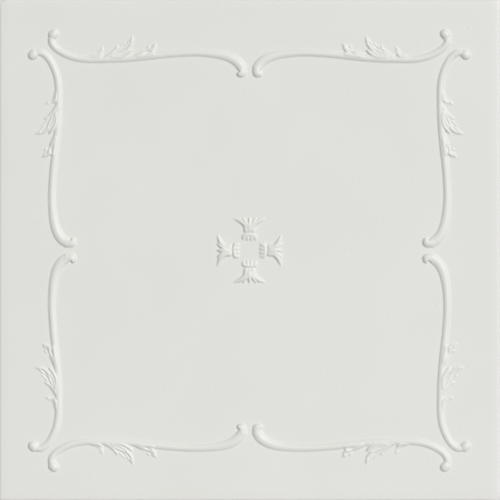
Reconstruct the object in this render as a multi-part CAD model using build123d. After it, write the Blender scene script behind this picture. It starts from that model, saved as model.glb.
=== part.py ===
from build123d import *
import os

# Moulded foam ceiling tile: a square plate, with a frame of leafy scrolls and a cross of palmettes on it.
# Millimetres. The tile lies on its flat glue side, face up. The origin is the middle of the glue side.
# One scroll is drawn beside the +X edge, in the half towards the +Y corner. The others mirror it.

# Plate
TILE_SIDE = 500.0
PLATE_THICKNESS = 6.5  # from the glue side to the flat of the face
EDGE_ROUND = 3.6  # roll of the face into the edges
CORNER_ROUND = 1.5  # upright corners of the plate

# Frame of scrolls
FRAME_INSET = 50.0  # from a tile edge to the frame line that the stems sway about
CORNER_INSET = 50.0  # from a tile edge to the far end of a scroll's run
MIDDLE_GAP = 13.0  # between the runs of the two scrolls that meet at the middle of a side
STEM_WIDTH = 8.4
STEM_HEIGHT = 1.7
CURL_WIDTH = 10.0  # swollen end of a stem
CURL_HEIGHT = 3.0

# Leaves that spring from a stem
LEAF_WIDTH = 6.6
LEAF_HEIGHT = 2.6
TIP_SHARE = 0.35  # width and height of a tip, as a share of the lobe's own

# Cross of palmettes
PALMETTE_REACH = 33.0  # from the middle of the tile to the end of a palmette
BODY_WIDTH = 10.0
BODY_HEIGHT = 2.9
PETAL_WIDTH = 4.8
SMALL_PETAL_WIDTH = 3.4
PETAL_HEIGHT = 2.2
SKIRT_WIDTH = 4.0
SKIRT_HEIGHT = 1.7

# Section of every moulded form: a ridge with soft shoulders, whose flanks run on down into the plate
SHOULDER_SHARE = 0.5  # of the half width
SHOULDER_LEVEL = 0.72  # of the height
ROOT_DEPTH = 0.5
KEEL_SHARE = 0.15  # depth of the keel under the root, as a share of the width

FRAME_LINE = TILE_SIDE / 2 - FRAME_INSET
SCROLL_START = MIDDLE_GAP / 2
SCROLL_RUN = TILE_SIDE / 2 - CORNER_INSET - SCROLL_START

# Stem, from the curl at the middle of the side to the curl at the corner:
# share of the scroll's run, and sway outside the frame line
STEM_ROUTE = [
    (0.012, -26.0),
    (0.007, -20.5),
    (0.021, -15.4),
    (0.062, -10.0),
    (0.122, -5.8),
    (0.240, -3.3),
    (0.400, -5.0),
    (0.620, -9.3),
    (0.780, -10.0),
    (0.890, -6.5),
    (0.950, -0.5),
    (0.982, 6.5),
    (0.987, 12.0),
    (0.976, 16.4),
    (0.955, 18.2),
]

# Ends of the stem: share of its length, then shares of the curl's width and height
CURL_AT_MIDDLE = [(0.000, 0.30, 0.25), (0.012, 0.88, 0.90), (0.030, 0.98, 0.92)]
CURL_AT_CORNER = [(0.935, 0.92, 0.68), (0.965, 0.98, 0.95), (0.985, 0.75, 0.85), (1.000, 0.15, 0.15)]
STEM_STATIONS = [0.10, 0.20, 0.30, 0.40, 0.52, 0.64, 0.74, 0.82, 0.88]

# Leaf lobes: share of the run at the root, fullness, and the way of the lobe from there to its tip,
# as distances outside the frame line and towards the middle of the side
LEAF_LOBES = [
    (0.809, 1.05, [(-9.6, 0), (-8.2, 8.6), (-4.4, 14.0), (3.0, 17.5)]),
    (0.731, 1.00, [(-8.6, 0), (-5.0, 8.5), (-1.4, 13.4), (3.4, 16.8)]),
    (0.714, 1.00, [(-8.2, 0), (-4.4, 10.2), (0.0, 15.7), (7.0, 20.4)]),
    (0.688, 1.00, [(-8.4, 0), (-5.0, 11.0), (1.0, 18.2), (7.4, 21.8), (13.6, 23.6)]),
    (0.671, 1.05, [(-9.2, 0), (-7.2, 10.4), (-4.6, 16.0), (-1.0, 20.2)]),
    (0.593, 0.90, [(-8.2, 0), (-4.6, 8.8), (0.8, 15.4)]),
    (0.576, 0.90, [(-7.8, 0), (-3.8, 9.8), (0.4, 15.8), (4.4, 19.2)]),
    (0.558, 0.95, [(-7.4, 0), (-3.4, 9.8), (1.2, 17.0), (6.0, 21.8)]),
    (0.547, 1.05, [(-7.6, 0), (-5.8, 8.8), (-4.2, 15.4), (-3.0, 19.0)]),
]

# Palmette: distances back from its end, and sideways
BODY_ROUTE = [15.4, 8.0, 0.0]
FLARED_PETAL = [(13.0, 3.0), (8.6, 4.4), (3.6, 8.0), (0.8, 14.4)]
SMALL_PETAL = [(9.0, 1.6), (4.5, 3.8), (0.6, 6.0)]
INNER_SCALLOP = [(15.6, 1.8), (19.0, 1.9), (22.6, 2.2)]
OUTER_SCALLOP = [(15.8, 4.4), (19.0, 5.4), (22.2, 7.0)]

# Body of the palmette: share of its length, then shares of its width and height
BODY = [(0.00, 0.65, 0.50), (0.20, 1.00, 0.90), (0.50, 0.95, 1.00), (0.80, 0.45, 0.75), (1.00, 0.16, 0.25)]


def ridge(width, height):
    """Section of a moulded form: a ridge with shoulders over the face, and a keel inside the plate."""
    half = width / 2
    shoulder = SHOULDER_SHARE * half
    foot = half + (half - shoulder) * ROOT_DEPTH / (SHOULDER_LEVEL * height)
    right_side = [(foot, -ROOT_DEPTH), (shoulder, SHOULDER_LEVEL * height)]
    left_side = [(-x, y) for x, y in reversed(right_side)]
    keel = (0, -ROOT_DEPTH - KEEL_SHARE * width)
    return make_face(Polyline([keel] + right_side + [(0, height)] + left_side, close=True))


def rib(route, stations):
    """Rib along a smooth route over the face. A station is a share of the route, a width and a height."""
    path = Spline([Vector(x, y, PLATE_THICKNESS) for x, y in route])
    sections = []
    for share, width, height in stations:
        heading = path % share
        across = Vector(-heading.Y, heading.X, 0)
        sections.append(Plane(origin=path @ share, x_dir=across, z_dir=heading) * ridge(width, height))
    return loft(sections)


def lobe(route, width, height):
    """Lobe of a leaf or a petal: it rises out of its root, stays full, and ends in a blunt tip."""
    stations = [
        (0.00, 0.50 * width, 0.25 * height),
        (0.40, width, height),
        (0.78, 0.90 * width, 0.80 * height),
        (1.00, TIP_SHARE * width, TIP_SHARE * height),
    ]
    return rib(route, stations)


def scallop(route, width, height):
    """Short scallop with a blunt end."""
    stations = [
        (0.0, 0.6 * width, 0.5 * height),
        (0.4, width, height),
        (1.0, 0.6 * width, 0.4 * height),
    ]
    return rib(route, stations)


def on_scroll(share, sway):
    """Point of the face at a share of the scroll's run, this far outside the frame line."""
    return FRAME_LINE + sway, SCROLL_START + share * SCROLL_RUN


def leaf(root_share, fullness, offsets):
    """Leaf lobe that springs from the stem at a share of the run."""
    root_x, root_y = on_scroll(root_share, 0)
    route = [(root_x + outside, root_y - inwards) for outside, inwards in offsets]
    return lobe(route, fullness * LEAF_WIDTH, fullness * LEAF_HEIGHT)


def stem():
    """S-shaped stem that swells into a curl at each end."""
    run = [(share, STEM_WIDTH, STEM_HEIGHT) for share in STEM_STATIONS]
    middle_curl, corner_curl = [
        [(share, width * CURL_WIDTH, height * CURL_HEIGHT) for share, width, height in curl]
        for curl in (CURL_AT_MIDDLE, CURL_AT_CORNER)
    ]
    return rib([on_scroll(share, sway) for share, sway in STEM_ROUTE], middle_curl + run + corner_curl)


def scroll():
    """One scroll: the stem and its leaves in one piece."""
    form = stem()
    for lobe_values in LEAF_LOBES:
        form = form.fuse(leaf(*lobe_values))
    return form


def on_palmette(back, sideways):
    """Point of the face this far back from the end of the palmette on the +X arm of the cross."""
    return PALMETTE_REACH - back, sideways


def palmette():
    """Palmette on the +X arm: a body that opens into petals, over a skirt of four scallops."""
    body_stations = [(share, width * BODY_WIDTH, height * BODY_HEIGHT) for share, width, height in BODY]
    form = rib([on_palmette(back, 0) for back in BODY_ROUTE], body_stations)
    for side in (1, -1):
        flared, small, inner, outer = [
            [on_palmette(back, side * sideways) for back, sideways in route]
            for route in (FLARED_PETAL, SMALL_PETAL, INNER_SCALLOP, OUTER_SCALLOP)
        ]
        form = form.fuse(lobe(flared, PETAL_WIDTH, PETAL_HEIGHT))
        form = form.fuse(lobe(small, SMALL_PETAL_WIDTH, PETAL_HEIGHT))
        form = form.fuse(scallop(inner, SKIRT_WIDTH, SKIRT_HEIGHT))
        form = form.fuse(scallop(outer, SKIRT_WIDTH, SKIRT_HEIGHT))
    return form


def plate():
    """Square foam plate with its face rolled into the edges."""
    blank = extrude(RectangleRounded(TILE_SIDE, TILE_SIDE, CORNER_ROUND), PLATE_THICKNESS)
    return fillet(blank.faces().sort_by(Axis.Z)[-1].edges(), EDGE_ROUND)


def ceiling_tile():
    """The whole tile as one moulded piece."""
    diagonal = Plane(origin=(0, 0, 0), z_dir=(1, -1, 0))
    first_scroll = scroll()
    frame = [first_scroll, first_scroll.mirror(diagonal)]
    frame += [form.mirror(Plane.XZ) for form in frame]
    frame += [form.mirror(Plane.YZ) for form in frame]
    first_palmette = palmette()
    cross = [Rot(0, 0, quarter * 90) * first_palmette for quarter in range(4)]
    tile = plate()
    for form in frame + cross:
        tile = tile.fuse(form)
    return tile


tile = ceiling_tile()
print("solids", len(tile.solids()), "valid", tile.is_valid, "volume", round(tile.volume))

os.makedirs("parts", exist_ok=True)
export_step(tile, "parts/ceiling_tile.step")
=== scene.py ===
"""Moulded foam ceiling tile, lying face up, seen from straight above.

The tile is one pressed sheet, so the dressed tile is one closed mesh. Its face is a height field, raised by
smooth strokes for stems, curls and petals, and by ribbed blades for leaves. One scroll and one half palmette
are drawn beside the +X axis, and the rest of the face mirrors them. The relief is drawn in millimetres, and
the mesh is in metres.
"""

import math

import bpy
import numpy as np
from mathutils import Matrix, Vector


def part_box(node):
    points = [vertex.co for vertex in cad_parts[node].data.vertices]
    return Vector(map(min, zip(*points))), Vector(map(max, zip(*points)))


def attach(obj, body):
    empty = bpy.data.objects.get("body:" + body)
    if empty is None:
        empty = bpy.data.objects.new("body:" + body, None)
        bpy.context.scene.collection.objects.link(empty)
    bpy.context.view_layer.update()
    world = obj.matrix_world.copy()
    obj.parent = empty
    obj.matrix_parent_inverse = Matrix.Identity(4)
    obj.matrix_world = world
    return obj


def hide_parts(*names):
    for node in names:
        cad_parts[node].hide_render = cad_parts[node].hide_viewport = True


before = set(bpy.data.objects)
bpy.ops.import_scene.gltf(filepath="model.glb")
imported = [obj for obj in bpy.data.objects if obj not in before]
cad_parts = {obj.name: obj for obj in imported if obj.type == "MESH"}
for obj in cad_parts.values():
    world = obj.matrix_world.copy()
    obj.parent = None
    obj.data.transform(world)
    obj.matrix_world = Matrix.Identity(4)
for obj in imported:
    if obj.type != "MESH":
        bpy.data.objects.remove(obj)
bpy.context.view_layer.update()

MM = 0.001
NODE = "ceiling_tile"

# Plate
HALF_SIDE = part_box(NODE)[1].x / MM
FACE_LEVEL = 6.5
EDGE_ROLL = 3.6  # radius of the roll from the face into the edges
ROLL_STEPS = 8
FOOT_CHAMFER = 0.4  # under the edges
FLAT_HALF = HALF_SIDE - EDGE_ROLL  # from the middle of the tile to the start of the roll

# Grid of the face: cells are halved where the relief needs it
COARSE_CELLS = 32  # along FLAT_HALF
CELL_HALVINGS = 4
FLATNESS = 0.065  # how far the relief may leave a cell
OVERSAMPLE = 2  # the relief is pressed on a finer grid, then smoothed
SOFTNESS = 0.25  # spread of the smoothing
SMOOTHING_REACH = 3  # spreads that the smoothing takes in on each side

FINE_PER_COARSE = 2 ** CELL_HALVINGS
FINE_CELLS = COARSE_CELLS * FINE_PER_COARSE
FINE_PITCH = FLAT_HALF / FINE_CELLS

# A stroke is a row of points: x, y, half width, height
STROKE_STEPS = 40  # from one point of a stroke to the next

# Stem of a scroll, from the curl at the middle of the side to the curl at the corner
STEM = [
    (179.2, 7.6, 4.8, 2.3),
    (185.6, 10.2, 5.0, 2.2),
    (191.4, 18.2, 4.7, 2.05),
    (194.8, 30.0, 4.2, 1.85),
    (196.4, 45.5, 3.6, 1.8),
    (196.5, 61.4, 3.4, 1.75),
    (195.0, 83.2, 3.4, 1.75),
    (192.7, 103.0, 3.4, 1.75),
    (190.7, 126.7, 3.4, 1.75),
    (190.0, 150.5, 3.4, 1.75),
    (190.5, 166.3, 3.4, 1.75),
    (193.6, 179.2, 3.4, 1.75),
    (199.6, 190.7, 3.4, 1.75),
    (205.8, 196.2, 3.5, 2.0),
    (210.4, 197.0, 3.4, 2.1),
]

# Curls that end the stem at the corner and at the middle of the side, and the eye sunk into the second
CURLS = [
    [(214.4, 195.5, 4.8, 2.85), (215.6, 194.3, 4.7, 2.8)],
    [(181.8, 7.4, 4.5, 2.5), (176.8, 7.6, 4.4, 2.7), (175.8, 9.4, 3.4, 2.6)],
]
CURL_EYE = [(178.4, 11.8, 1.7, 2.0), (179.8, 13.6, 1.6, 1.4)]

# Leaves along the stem: how full a leaf is, the outline of its blade, and the ribs to its teeth, as x, y
LEAVES = [
    # Small leaf nearest the corner
    (
        0.85,
        [
            (191.0, 164.0), (193.6, 158.6), (196.6, 153.0), (200.2, 149.0), (204.0, 145.4), (199.0, 144.9),
            (194.6, 146.2), (190.0, 148.0),
        ],
        [
            [(192.2, 162.6), (195.4, 153.8), (202.4, 146.2)],
            [(191.2, 160.0), (192.4, 152.4), (194.4, 147.0)],
        ],
    ),
    # Big leaf, with two teeth at its back, a long lobe and a front lobe
    (
        1.0,
        [
            (190.6, 150.0), (193.0, 146.0), (196.8, 139.6), (200.4, 134.8), (205.0, 131.6), (202.6, 129.6),
            (204.2, 127.0), (207.6, 124.2), (205.8, 122.6), (208.4, 120.4), (214.2, 116.0), (209.0, 114.8),
            (203.6, 116.2), (200.6, 118.2), (199.6, 115.2), (196.0, 117.4), (192.4, 120.8), (189.6, 124.0),
        ],
        [
            [(191.6, 148.0), (195.2, 138.8), (204.0, 132.0)],
            [(192.2, 143.0), (197.0, 131.8), (206.6, 124.6)],
            [(196.4, 131.0), (201.6, 123.6), (207.6, 120.4)],
            [(192.6, 137.0), (198.2, 125.6), (204.8, 119.0), (213.0, 116.2)],
            [(191.2, 135.0), (193.4, 125.6), (199.0, 116.0)],
        ],
    ),
    # Last leaf, with two teeth at its back, a broad tip, and an inner lobe that sheathes the stem
    (
        1.0,
        [
            (190.4, 124.0), (193.2, 118.6), (196.6, 112.2), (201.6, 105.4), (199.8, 104.4), (201.8, 102.6),
            (205.0, 100.2), (203.4, 98.8), (205.2, 96.0), (206.6, 92.2), (201.6, 92.6), (198.2, 94.6),
            (197.0, 92.6), (192.4, 93.4), (190.4, 104.0),
        ],
        [
            [(192.2, 120.6), (195.4, 112.6), (200.8, 106.0)],
            [(192.6, 117.0), (197.0, 107.2), (204.4, 100.6)],
            [(193.2, 112.6), (198.8, 101.8), (205.8, 92.8)],
            [(193.0, 111.6), (196.8, 101.2), (200.8, 93.4)],
            [(192.8, 110.6), (194.4, 101.4), (195.4, 93.8)],
        ],
    ),
]
LEAF_ROOT_HEIGHT = 2.5
LEAF_TIP_HEIGHT = 1.3
LEAF_FALL = 0.06  # how much lower a blade is for each millimetre out from the stem
LEAF_RIM = 2.2  # width of the round along the edge of a blade
RIB_HALF_WIDTH = 2.1
RIB_LEAN = 0.3  # share by which one flank of a rib is narrower, and the other wider
BACK_RIB_LEVEL = 0.5  # height of the rib at the back of a leaf, as a share of the one at its front
VALLEY_SHARE = 0.3  # height between the ribs, as a share of the height on them

# Narrow grooves that part the ribs of the leaves: strokes with depths in place of heights
LEAF_GROOVES = [
    [(194.2, 155.2, 1.0, 0.3), (196.4, 151.2, 1.3, 0.9), (199.0, 147.6, 1.1, 0.6)],
    [(197.6, 132.6, 1.0, 0.4), (201.0, 127.4, 1.4, 1.2), (204.6, 123.6, 1.3, 0.9)],
    [(199.4, 127.2, 1.0, 0.4), (202.6, 122.4, 1.4, 1.2), (207.0, 118.4, 1.1, 0.7)],
    [(194.4, 134.6, 1.0, 0.4), (196.6, 128.4, 1.4, 1.0), (199.4, 123.0, 1.1, 0.6)],
    [(196.6, 110.6, 1.0, 0.4), (199.6, 106.0, 1.4, 1.1), (202.2, 102.4, 1.1, 0.7)],
    [(197.2, 107.0, 1.0, 0.4), (200.2, 101.2, 1.4, 1.2), (202.6, 96.2, 1.3, 0.8)],
    [(195.6, 104.6, 1.0, 0.4), (197.0, 101.4, 1.5, 1.3), (197.6, 98.0, 1.1, 0.7)],
]

# Half palmette beside the +X axis
PALMETTE = [
    # Body
    [(21.8, 0.0, 5.0, 2.2), (24.4, 0.0, 5.2, 2.5), (26.0, 0.0, 4.2, 2.4)],
    [(20.0, 3.2, 3.0, 1.9), (23.4, 3.4, 3.0, 2.1)],
    # Flared petal, then the small petals at the end of the body
    [(23.4, 3.4, 2.6, 2.1), (26.8, 5.6, 2.6, 2.2), (29.4, 9.4, 2.3, 1.8), (31.4, 14.6, 1.0, 0.7)],
    [(25.0, 2.2, 1.8, 2.4), (28.2, 4.0, 1.8, 2.3), (31.2, 6.2, 1.3, 1.3)],
    [(26.0, 0.0, 1.8, 2.5), (29.0, 0.0, 1.7, 2.3), (31.4, 0.0, 1.1, 1.3)],
    # Collar
    [(15.6, 0.0, 1.9, 1.9), (15.2, 4.0, 1.9, 1.8), (13.9, 6.6, 1.5, 1.2)],
    # Scallops of the skirt
    [(14.6, 1.9, 2.4, 1.8), (11.8, 2.0, 2.1, 1.3)],
    [(14.2, 5.2, 2.4, 1.7), (12.0, 5.8, 2.0, 1.2)],
]

# Shape of a section: 0.5 is a half round, 1 is a parabola, and above that the feet run out softly
STEM_SECTION = 0.7
CURL_SECTION = 0.65
RIB_SECTION = 0.8
LEAF_SECTION = 1.1
PALMETTE_SECTION = 0.9

# Foam: tone and gloss change slightly over broad clouds. Scales are the number of features in a metre
FOAM_TONES = [(0.775, 0.771, 0.735), (0.788, 0.785, 0.751)]
FOAM_ROUGHNESS = (0.40, 0.52)
FOAM_SPECULAR = 0.35
CLOUD_SCALE = 9.0
CLOUD_DETAIL = 4.0
CLOUD_SPAN = (0.3, 0.7)  # values of a cloud between which the tone changes

# Skin of the foam: seams between flattened beads, sparse small dents, and fine grain
BEAD_SCALE = 330.0
SEAM_WIDTH = 0.12  # as a share of a bead
SEAM_DEPTH = 0.02 * MM
SEAM_STRENGTH = 0.4
DENT_SCALE = 16.0
DENT_SPAN = (0.015, 0.035)  # bottom and rim of a dent, as shares of the space between dents
DENT_DEPTH = 0.15 * MM
DENT_STRENGTH = 0.5
GRAIN_SCALE = 1400.0
GRAIN_DETAIL = 2.0
GRAIN_DEPTH = 0.12 * MM
GRAIN_STRENGTH = 0.3
BLACK = (0, 0, 0)
WHITE = (1, 1, 1)

# Floor, in metres
FLOOR_REACH = 4.0
FLOOR_LEVEL = -0.2 * MM  # just under the back of the tile
FLOOR_TONES = [(0.73, 0.73, 0.72), (0.75, 0.75, 0.74)]
FLOOR_ROUGHNESS = 0.9
MOTTLE_SCALE = 60.0
MOTTLE_DETAIL = 5.0

# Framing of the photograph: its side in pixels, the middle of the tile there, and the scale
IMAGE_SIDE = 500
TILE_MIDDLE_X = 249.4
TILE_MIDDLE_Y = 250.5
PIXEL_SIZE = 0.995 * MM
CAMERA_HEIGHT = 2.6  # metres
SENSOR_WIDTH = 36.0  # millimetres

# Soft, distant key light from the upper right of the face, in degrees, and even light from all round
KEY_AZIMUTH = 34.0
KEY_ELEVATION = 60.5
KEY_SPREAD = 8.0
KEY_STRENGTH = 2.70
SKY_COLOUR = (1, 1, 1, 1)
SKY_LEVEL = 0.152
BACKDROP_COLOUR = (0.72, 0.72, 0.71, 1)

# Weak fill from beyond the lower edge of the tile, aimed at that edge, in metres
FILL_DISTANCE = 0.5  # from the edge, along the floor
FILL_HEIGHT = 0.45
FILL_SIZE = 0.6
FILL_POWER = 0.4


def smooth_route(points):
    """Steps along the smooth curve through the points, with every column eased the same way."""
    knots = np.array(points, float)
    ends = np.vstack([2 * knots[0] - knots[1], knots, 2 * knots[-1] - knots[-2]])
    share = np.linspace(0, 1, STROKE_STEPS, endpoint=False)[:, None]
    steps = []
    for before, start, stop, after in zip(ends[:-3], ends[1:-2], ends[2:-1], ends[3:]):
        curve = 2 * start + (stop - before) * share
        curve += (2 * before - 5 * start + 4 * stop - after) * share ** 2
        curve += (3 * start - before - 3 * stop + after) * share ** 3
        steps.append(curve / 2)
    return np.vstack(steps + [knots[-1:]])


def grid_lines(low, high, pitch, count):
    """Lines of the grid that cover the stretch from low to high."""
    return np.arange(max(int(low / pitch), 0), min(int(high / pitch) + 2, count))


def press_stroke(field, pitch, points, section, lean=0.0):
    """Raises the field to a ridge along the points. Each step of the ridge is a small dome.

    A lean narrows the flank on the left of the ridge's way, and widens the other one by as much.
    """
    count = field.shape[0]
    route = smooth_route(points)
    headings = np.gradient(route[:, :2], axis=0)
    for (x, y, half, height), (heading_x, heading_y) in zip(route, headings):
        reach = half * (1 + lean)
        rows = grid_lines(y - reach, y + reach, pitch, count)
        columns = grid_lines(x - reach, x + reach, pitch, count)
        off_y = rows[:, None] * pitch - y
        off_x = columns[None, :] * pitch - x
        on_left = off_y * heading_x > off_x * heading_y
        flank = half * np.where(on_left, 1 - lean, 1 + lean)
        dome = height * np.clip(1 - (off_x ** 2 + off_y ** 2) / flank ** 2, 0, 1) ** section
        window = np.ix_(rows, columns)
        field[window] = np.maximum(field[window], dome)


def depth_inside(x, y, outline):
    """How far the points lie inside the closed outline. It is 0 outside."""
    nearest = np.full(np.broadcast(x, y).shape, np.inf)
    inside = np.zeros(nearest.shape, bool)
    for (x_a, y_a), (x_b, y_b) in zip(outline, outline[1:] + outline[:1]):
        along = (x - x_a) * (x_b - x_a) + (y - y_a) * (y_b - y_a)
        share = np.clip(along / ((x_b - x_a) ** 2 + (y_b - y_a) ** 2), 0, 1)
        nearest = np.minimum(nearest, np.hypot(x - x_a - share * (x_b - x_a), y - y_a - share * (y_b - y_a)))
        if y_a != y_b:
            crossing = x_a + (y - y_a) * (x_b - x_a) / (y_b - y_a)
            inside ^= ((y_a > y) != (y_b > y)) & (x < crossing)
    return np.where(inside, nearest, 0)


def press_leaf(field, pitch, fullness, outline, ribs):
    """Raises the field to a blade with a round edge. Its ribs lie in steps, the last one highest."""
    ribbing = np.zeros_like(field)
    for rib, level in zip(ribs, np.linspace(BACK_RIB_LEVEL, 1, len(ribs))):
        stroke = [(x, y, RIB_HALF_WIDTH, level) for x, y in rib]
        press_stroke(ribbing, pitch, stroke, RIB_SECTION, RIB_LEAN)
    xs, ys = zip(*outline)
    rows = grid_lines(min(ys), max(ys), pitch, field.shape[0])
    columns = grid_lines(min(xs), max(xs), pitch, field.shape[1])
    window = np.ix_(rows, columns)
    x = columns[None, :] * pitch
    y = rows[:, None] * pitch
    edge = np.clip(1 - depth_inside(x, y, outline) / LEAF_RIM, 0, 1)
    height = np.clip(LEAF_ROOT_HEIGHT - LEAF_FALL * (x - min(xs)), LEAF_TIP_HEIGHT, LEAF_ROOT_HEIGHT)
    ribbed = VALLEY_SHARE + (1 - VALLEY_SHARE) * ribbing[window]
    blade = fullness * height * (1 - edge ** 2) ** LEAF_SECTION * ribbed
    field[window] = np.maximum(field[window], blade)


def smoothed(field, pitch, spread):
    """The field blurred by a bell curve. Past the sides of the quarter it is taken as mirrored."""
    reach = int(SMOOTHING_REACH * spread / pitch) + 1
    weights = np.exp(-0.5 * (np.arange(-reach, reach + 1) * pitch / spread) ** 2)
    weights /= weights.sum()
    for axis in (0, 1):
        margins = [(0, 0), (0, 0)]
        margins[axis] = (reach, reach)
        padded = np.pad(field, margins, mode="reflect")
        windows = np.lib.stride_tricks.sliding_window_view(padded, len(weights), axis=axis)
        field = windows @ weights
    return field


def face_relief():
    """Height over the flat of the face at the fine nodes of one quarter of the tile.

    Rows run along y and columns along x, from the middle of the tile.
    """
    count = FINE_CELLS * OVERSAMPLE + 1
    pitch = FINE_PITCH / OVERSAMPLE
    field = np.zeros((count, count))
    press_stroke(field, pitch, STEM, STEM_SECTION)
    for stroke in CURLS:
        press_stroke(field, pitch, stroke, CURL_SECTION)
    for fullness, outline, ribs in LEAVES:
        press_leaf(field, pitch, fullness, outline, ribs)
    for stroke in PALMETTE:
        press_stroke(field, pitch, stroke, PALMETTE_SECTION)
    dent = np.zeros_like(field)
    press_stroke(dent, pitch, CURL_EYE, CURL_SECTION)
    for groove in LEAF_GROOVES:
        press_stroke(dent, pitch, groove, RIB_SECTION)
    field = np.maximum(field - dent, 0)
    field = np.maximum(field, field.T)  # mirrored at the diagonal
    return smoothed(field, pitch, SOFTNESS)[::OVERSAMPLE, ::OVERSAMPLE]


def bulge(patch):
    """How far the relief leaves the plain cell between the corners of the patch."""
    share = np.arange(len(patch)) / (len(patch) - 1)
    near = patch[0, 0] * (1 - share) + patch[0, -1] * share
    far = patch[-1, 0] * (1 - share) + patch[-1, -1] * share
    plain = near[None, :] * (1 - share[:, None]) + far[None, :] * share[:, None]
    return np.abs(patch - plain).max()


def cells_of_size(sizes, size):
    """First row and column of each cell of this size."""
    for row in range(0, FINE_CELLS, size):
        for column in range(0, FINE_CELLS, size):
            if sizes[row, column] == size:
                yield row, column


def cell_sizes(relief):
    """Size of the cell that covers each fine cell of the quarter, counted in fine cells.

    A cell is halved where the relief leaves it, and then until no neighbour is under half its size.
    """
    sizes = np.full((FINE_CELLS, FINE_CELLS), FINE_PER_COARSE)
    large_to_small = [FINE_PER_COARSE // 2 ** halving for halving in range(CELL_HALVINGS)]
    for size in large_to_small:
        for row, column in cells_of_size(sizes, size):
            if bulge(relief[row:row + size + 1, column:column + size + 1]) > FLATNESS:
                sizes[row:row + size, column:column + size] = size // 2
    changed = True
    while changed:
        changed = False
        for size in large_to_small:
            for row, column in cells_of_size(sizes, size):
                around = sizes[max(row - 1, 0):row + size + 1, max(column - 1, 0):column + size + 1]
                if around.min() < size // 2:
                    sizes[row:row + size, column:column + size] = size // 2
                    changed = True
    return sizes


def cell_ring(column, row, size):
    """Corners of a cell, with the middle of each side between them, anticlockwise from above."""
    half = size // 2
    steps = [(0, 0), (half, 0), (size, 0), (size, half), (size, size), (half, size), (0, size), (0, half)]
    return [(column + right, row + up) for right, up in steps]


def quarter_faces(sizes):
    """Faces of the quarter as loops of (column, row) nodes, anticlockwise from above.

    A cell with smaller neighbours is a fan of triangles that takes in their nodes.
    """
    cells = []
    used = np.zeros((FINE_CELLS + 1, FINE_CELLS + 1), bool)
    for row in range(FINE_CELLS):
        for column in range(FINE_CELLS):
            size = int(sizes[row, column])
            if row % size == 0 and column % size == 0:
                cells.append((column, row, size))
                used[row:row + size + 1:size, column:column + size + 1:size] = True
    faces = []
    for column, row, size in cells:
        ring = cell_ring(column, row, size)
        corners = ring[::2]
        if size > 1:
            ring = [node for node in ring if node in corners or used[node[1], node[0]]]
        else:
            ring = corners
        if ring == corners:
            faces.append(corners)
        else:
            middle = (column + size // 2, row + size // 2)
            faces += [[middle, node, following] for node, following in zip(ring, ring[1:] + ring[:1])]
    return faces


def edge_walk(nodes):
    """Nodes round the start of the roll, anticlockwise from above."""
    last = FINE_CELLS
    right = sorted((node for node in nodes if node[0] == last), key=lambda node: node[1])
    top = sorted((node for node in nodes if node[1] == last), key=lambda node: -node[0])
    left = sorted((node for node in nodes if node[0] == -last), key=lambda node: -node[1])
    bottom = sorted((node for node in nodes if node[1] == -last), key=lambda node: node[0])
    return right[:-1] + top[:-1] + left[:-1] + bottom[:-1]


def edge_profile():
    """Steps from the face over the roll and down the edge: (how far out, level)."""
    profile = []
    for step in range(ROLL_STEPS + 1):
        turn = math.pi / 2 * step / ROLL_STEPS
        profile.append((EDGE_ROLL * math.sin(turn), FACE_LEVEL - EDGE_ROLL * (1 - math.cos(turn))))
    profile.append((EDGE_ROLL, FOOT_CHAMFER))
    profile.append((EDGE_ROLL - FOOT_CHAMFER, 0.0))
    return profile


def outward(line):
    """Which way the edge faces at a line of the grid: 1 or -1 at the last lines, and 0 between them."""
    return (line == FINE_CELLS) - (line == -FINE_CELLS)


def tile_mesh():
    """The whole tile as one closed mesh: the face, the edge all round, and the flat back."""
    relief = face_relief()
    loops = quarter_faces(cell_sizes(relief))
    profile = edge_profile()
    places = {}
    points = []
    faces = []

    def vertex(column, row, step=0):
        """Number of the vertex at a node of the face, or so many steps down the edge from it."""
        key = (column, row, step)
        if key not in places:
            places[key] = len(points)
            out, level = profile[step]
            if step == 0:
                level += relief[abs(row), abs(column)]
            x = column * FINE_PITCH + out * outward(column)
            y = row * FINE_PITCH + out * outward(row)
            points.append((x * MM, y * MM, level * MM))
        return places[key]

    for x_sign, y_sign in ((1, 1), (-1, 1), (-1, -1), (1, -1)):
        for loop in loops:
            ring = [vertex(x_sign * column, y_sign * row) for column, row in loop]
            faces.append(ring if x_sign == y_sign else ring[::-1])

    rim = edge_walk([(column, row) for column, row, _ in places])
    for node, following in zip(rim, rim[1:] + rim[:1]):
        for step in range(len(profile) - 1):
            down = [vertex(*node, step), vertex(*node, step + 1)]
            up = [vertex(*following, step + 1), vertex(*following, step)]
            faces.append(down + up)
    faces.append([vertex(*node, len(profile) - 1) for node in reversed(rim)])

    mesh = bpy.data.meshes.new("tile")
    mesh.from_pydata(points, [], faces)
    mesh.validate()
    mesh.update()
    mesh.shade_smooth()
    mesh.polygons[-1].use_smooth = False  # the flat back
    return mesh


def new_material(name):
    """Material with a node tree: its nodes, its links, its shader and the place on the object."""
    material = bpy.data.materials.new(name)
    material.use_nodes = True
    nodes = material.node_tree.nodes
    place = nodes.new("ShaderNodeTexCoord").outputs["Object"]
    return material, nodes, material.node_tree.links, nodes["Principled BSDF"], place


def tone_ramp(nodes, links, value, span, colours):
    """Colour that runs from the first to the second while the value crosses the span."""
    ramp = nodes.new("ShaderNodeValToRGB")
    for element, position, colour in zip(ramp.color_ramp.elements, span, colours):
        element.position = position
        element.color = (*colour, 1)
    links.new(value, ramp.inputs["Fac"])
    return ramp.outputs["Color"]


def noise(nodes, links, place, scale, detail):
    """Cloudy values over the surface."""
    texture = nodes.new("ShaderNodeTexNoise")
    texture.inputs["Scale"].default_value = scale
    texture.inputs["Detail"].default_value = detail
    links.new(place, texture.inputs["Vector"])
    return texture.outputs["Fac"]


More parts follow.
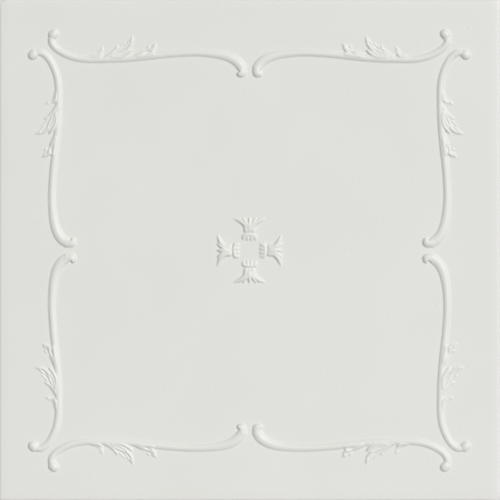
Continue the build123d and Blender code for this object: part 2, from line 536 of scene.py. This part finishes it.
def scattered_cells(nodes, links, place, scale):
    """Texture of uneven cells over the surface."""
    texture = nodes.new("ShaderNodeTexVoronoi")
    texture.inputs["Scale"].default_value = scale
    links.new(place, texture.inputs["Vector"])
    return texture


def bump(nodes, links, height, depth, strength, under=None):
    """Normal of a bump of the given depth, over the normal of another bump where there is one."""
    node = nodes.new("ShaderNodeBump")
    node.inputs["Strength"].default_value = strength
    node.inputs["Distance"].default_value = depth
    links.new(height, node.inputs["Height"])
    if under:
        links.new(under, node.inputs["Normal"])
    return node.outputs["Normal"]


def foam_material():
    """White pressed foam: a satin skin over flattened beads, with slight changes of tone and gloss."""
    material, nodes, links, shader, place = new_material("foam")
    shader.inputs["Specular IOR Level"].default_value = FOAM_SPECULAR

    cloud = noise(nodes, links, place, CLOUD_SCALE, CLOUD_DETAIL)
    links.new(tone_ramp(nodes, links, cloud, CLOUD_SPAN, FOAM_TONES), shader.inputs["Base Color"])
    gloss = nodes.new("ShaderNodeMapRange")
    gloss.inputs["To Min"].default_value, gloss.inputs["To Max"].default_value = FOAM_ROUGHNESS
    links.new(cloud, gloss.inputs["Value"])
    links.new(gloss.outputs["Result"], shader.inputs["Roughness"])

    beads = scattered_cells(nodes, links, place, BEAD_SCALE)
    beads.feature = "DISTANCE_TO_EDGE"
    seams = tone_ramp(nodes, links, beads.outputs["Distance"], (0, SEAM_WIDTH), (BLACK, WHITE))
    skin = bump(nodes, links, seams, SEAM_DEPTH, SEAM_STRENGTH)

    specks = scattered_cells(nodes, links, place, DENT_SCALE)
    specks.voronoi_dimensions = "2D"
    dents = tone_ramp(nodes, links, specks.outputs["Distance"], DENT_SPAN, (BLACK, WHITE))
    skin = bump(nodes, links, dents, DENT_DEPTH, DENT_STRENGTH, skin)

    grain = noise(nodes, links, place, GRAIN_SCALE, GRAIN_DETAIL)
    skin = bump(nodes, links, grain, GRAIN_DEPTH, GRAIN_STRENGTH, skin)
    links.new(skin, shader.inputs["Normal"])
    return material


def floor_material():
    """Pale matt studio floor with a faint mottle."""
    material, nodes, links, shader, place = new_material("floor")
    shader.inputs["Roughness"].default_value = FLOOR_ROUGHNESS
    mottle = noise(nodes, links, place, MOTTLE_SCALE, MOTTLE_DETAIL)
    links.new(tone_ramp(nodes, links, mottle, CLOUD_SPAN, FLOOR_TONES), shader.inputs["Base Color"])
    return material


def add_object(name, data):
    """New object in the scene."""
    thing = bpy.data.objects.new(name, data)
    bpy.context.scene.collection.objects.link(thing)
    return thing


def add_tile():
    """The dressed tile, in place of the CAD node."""
    tile = add_object("tile", tile_mesh())
    tile.data.materials.append(foam_material())
    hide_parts(NODE)
    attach(tile, "root")


def add_floor():
    """Plain floor under the tile."""
    mesh = bpy.data.meshes.new("floor")
    signs = [(-1, -1), (1, -1), (1, 1), (-1, 1)]
    mesh.from_pydata([(x * FLOOR_REACH, y * FLOOR_REACH, 0) for x, y in signs], [], [(0, 1, 2, 3)])
    mesh.materials.append(floor_material())
    floor = add_object("floor", mesh)
    floor.location.z = FLOOR_LEVEL


def add_camera():
    """Camera that looks straight down, with the tile where the photograph has it."""
    data = bpy.data.cameras.new("camera")
    data.sensor_width = SENSOR_WIDTH
    data.lens = SENSOR_WIDTH * (CAMERA_HEIGHT - FACE_LEVEL * MM) / (IMAGE_SIDE * PIXEL_SIZE)
    camera = add_object("camera", data)
    x = (IMAGE_SIDE / 2 - TILE_MIDDLE_X) * PIXEL_SIZE
    y = (TILE_MIDDLE_Y - IMAGE_SIDE / 2) * PIXEL_SIZE
    camera.location = (x, y, CAMERA_HEIGHT)
    bpy.context.scene.camera = camera


def add_lights():
    """Key light over the face, and a weak fill from beyond the lower edge."""
    data = bpy.data.lights.new("key", "SUN")
    data.angle = math.radians(KEY_SPREAD)
    data.energy = KEY_STRENGTH
    key = add_object("key", data)
    key.rotation_euler = (0, math.radians(90 - KEY_ELEVATION), math.radians(KEY_AZIMUTH))

    data = bpy.data.lights.new("fill", "AREA")
    data.size = FILL_SIZE
    data.energy = FILL_POWER
    fill = add_object("fill", data)
    fill.location = (0, -HALF_SIDE * MM - FILL_DISTANCE, FILL_HEIGHT)
    fill.rotation_euler = (math.atan2(FILL_DISTANCE, FILL_HEIGHT), 0, 0)


def add_world():
    """Even light from all round. The camera and reflections see a pale backdrop in its place."""
    world = bpy.data.worlds.new("studio")
    world.use_nodes = True
    nodes = world.node_tree.nodes
    links = world.node_tree.links
    sky = nodes["Background"]
    sky.inputs["Color"].default_value = SKY_COLOUR
    sky.inputs["Strength"].default_value = SKY_LEVEL
    backdrop = nodes.new("ShaderNodeBackground")
    backdrop.inputs["Color"].default_value = BACKDROP_COLOUR
    rays = nodes.new("ShaderNodeLightPath")
    seen = rays.outputs["Is Camera Ray"]
    for kind in ("Is Glossy Ray", "Is Transmission Ray"):
        either = nodes.new("ShaderNodeMath")
        either.operation = "MAXIMUM"
        links.new(seen, either.inputs[0])
        links.new(rays.outputs[kind], either.inputs[1])
        seen = either.outputs["Value"]
    mix = nodes.new("ShaderNodeMixShader")
    links.new(seen, mix.inputs["Fac"])
    links.new(sky.outputs["Background"], mix.inputs[1])
    links.new(backdrop.outputs["Background"], mix.inputs[2])
    links.new(mix.outputs["Shader"], nodes["World Output"].inputs["Surface"])
    bpy.context.scene.world = world


add_tile()
add_floor()
add_camera()
add_lights()
add_world()
bpy.context.scene.view_settings.view_transform = "Standard"
